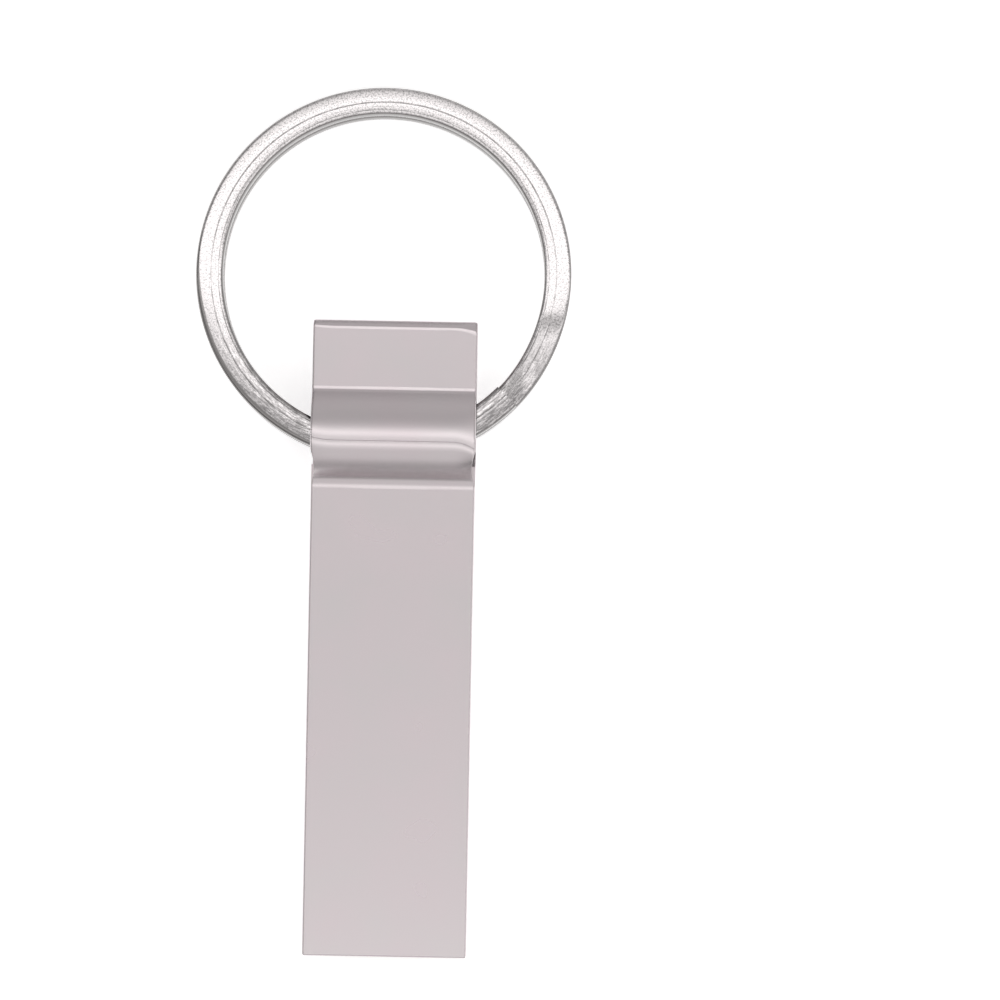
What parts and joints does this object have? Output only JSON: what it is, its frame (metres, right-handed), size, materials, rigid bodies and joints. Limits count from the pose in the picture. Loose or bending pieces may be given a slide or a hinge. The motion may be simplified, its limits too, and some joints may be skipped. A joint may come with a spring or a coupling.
{
  "type": "usb flash drive",
  "caption": "Slim cap-less metal USB flash drive whose one-piece body is the plug's shell, with a wave-shaped eye that holds a free-swinging split key ring.",
  "frame": {"origin": "middle of the rear cover's outer face, on the body's centre line", "axes": "+Y along the body from the plug end to the tip with the key ring, +Z out of the front face, +X across the body; the drive lies on its back"},
  "size_m": [0.028, 0.0648, 0.0066],
  "materials": {
    "satin_nickel": "satin nickel plate on die-cast zinc",
    "bright_nickel": "tumbled nickel plate on steel wire",
    "cover_steel": "satin stamped sheet",
    "black_abs": "fine moulded texture",
    "epoxy_mould": "transfer-moulded epoxy",
    "solder_mask": "black solder mask on laminate",
    "gold_plate": "gold plate on copper",
    "silicon": "polished silicon",
    "adhesive_film": "translucent film",
    "capacitor_ceramic": "fired ceramic with tinned ends",
    "resistor_glaze": "glazed film on alumina",
    "crystal_can": "seam-welded lid"
  },
  "bodies": {
    "drive": {"body_casting": "satin_nickel", "rear_cover": "cover_steel", "cover_tape": "adhesive_film", "carrier_tray": "black_abs", "module_tape": "adhesive_film", "module_substrate": "solder_mask", "mould_cap": "epoxy_mould", "controller_die": "silicon", "controller_film": "adhesive_film", "nand_die_lower": "silicon", "nand_film_lower": "adhesive_film", "nand_die_upper": "silicon", "nand_film_upper": "adhesive_film", "crystal": "crystal_can", "capacitor_1": "capacitor_ceramic", "capacitor_2": "capacitor_ceramic", "capacitor_3": "capacitor_ceramic", "capacitor_4": "capacitor_ceramic", "resistor_1": "resistor_glaze", "resistor_2": "resistor_glaze", "contact_vbus": "gold_plate", "contact_data_minus": "gold_plate", "contact_data_plus": "gold_plate", "contact_ground": "gold_plate", "test_pad_1": "gold_plate", "test_pad_2": "gold_plate", "test_pad_3": "gold_plate", "test_pad_4": "gold_plate"},
    "ring": {"split_ring": "bright_nickel"}
  },
  "joints": [
    {"name": "ring_swing", "type": "hinge", "parent": "drive", "child": "ring", "pos_m": [0, 0.0156, 0.00325], "axis": [1, 0, 0], "range_deg": [-160, 172]}
  ]
}
